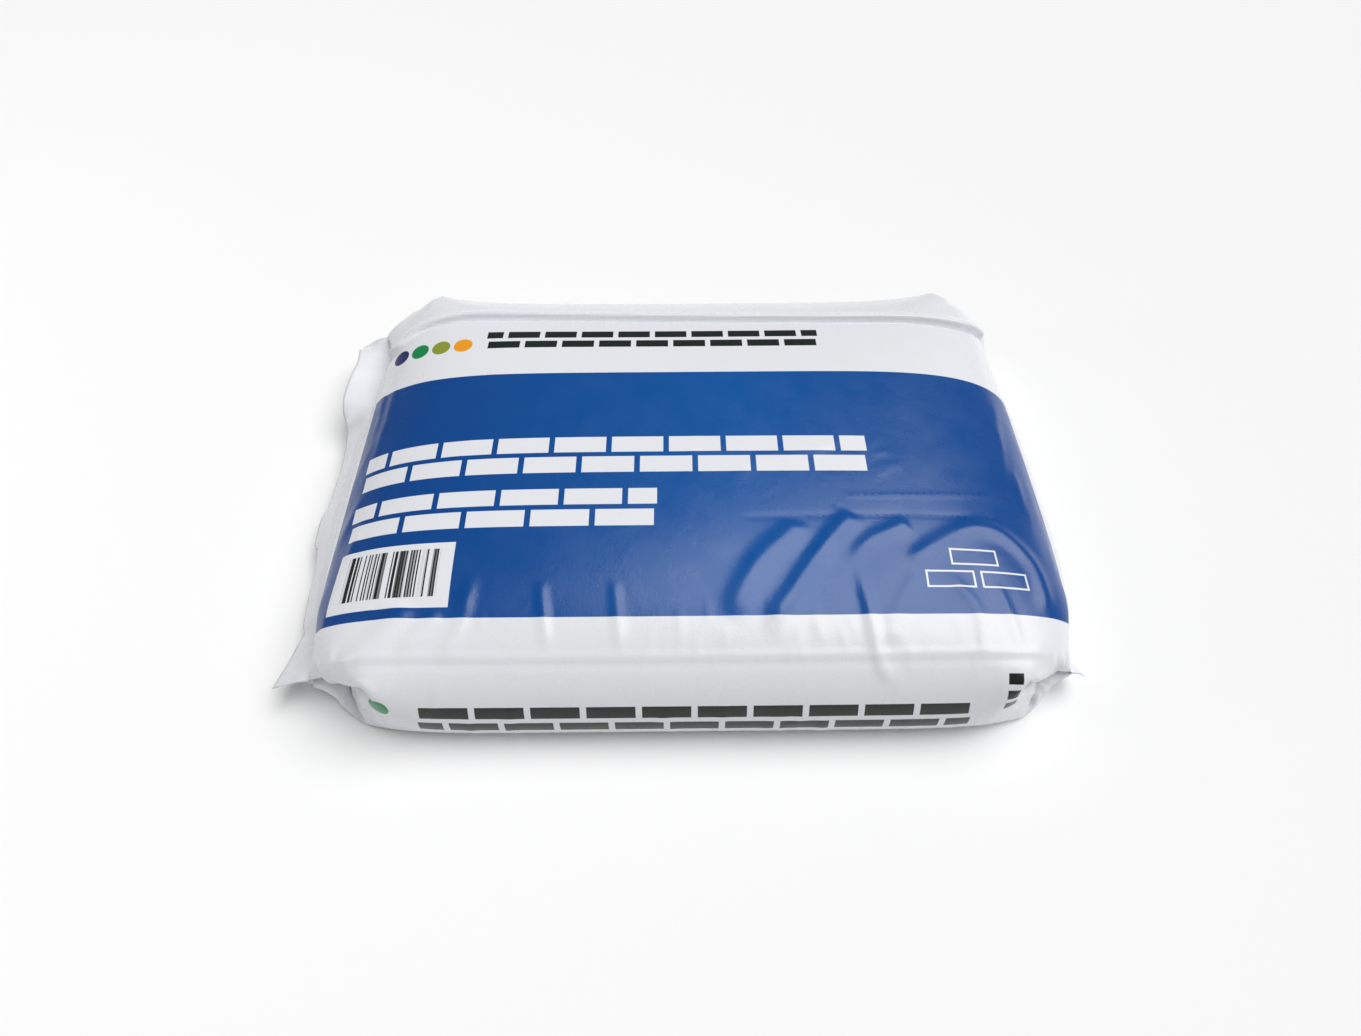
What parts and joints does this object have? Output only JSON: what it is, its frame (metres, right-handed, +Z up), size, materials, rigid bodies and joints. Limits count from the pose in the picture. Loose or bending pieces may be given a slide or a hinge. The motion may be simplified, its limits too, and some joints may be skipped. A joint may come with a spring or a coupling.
{
  "type": "bag of sand cement mix",
  "caption": "Flat-lying gusseted plastic film sack of dry sand cement mix, welded shut at both ends with a fin of film past each weld.",
  "frame": {"origin": "centre of the bottom of the whole bag, fins included, on the floor", "axes": "+X along the bag from weld to weld, +Y away from the printed front, +Z up"},
  "size_m": [0.5584, 0.3944, 0.0905],
  "materials": {
    "printed_film": "white low-density polyethylene film with a blue printed band, semi-gloss",
    "dry_mix": "loose grey sand and cement"
  },
  "bodies": {
    "root": {"film_sack": "printed_film", "sand_cement_mix": "dry_mix"}
  },
  "joints": []
}
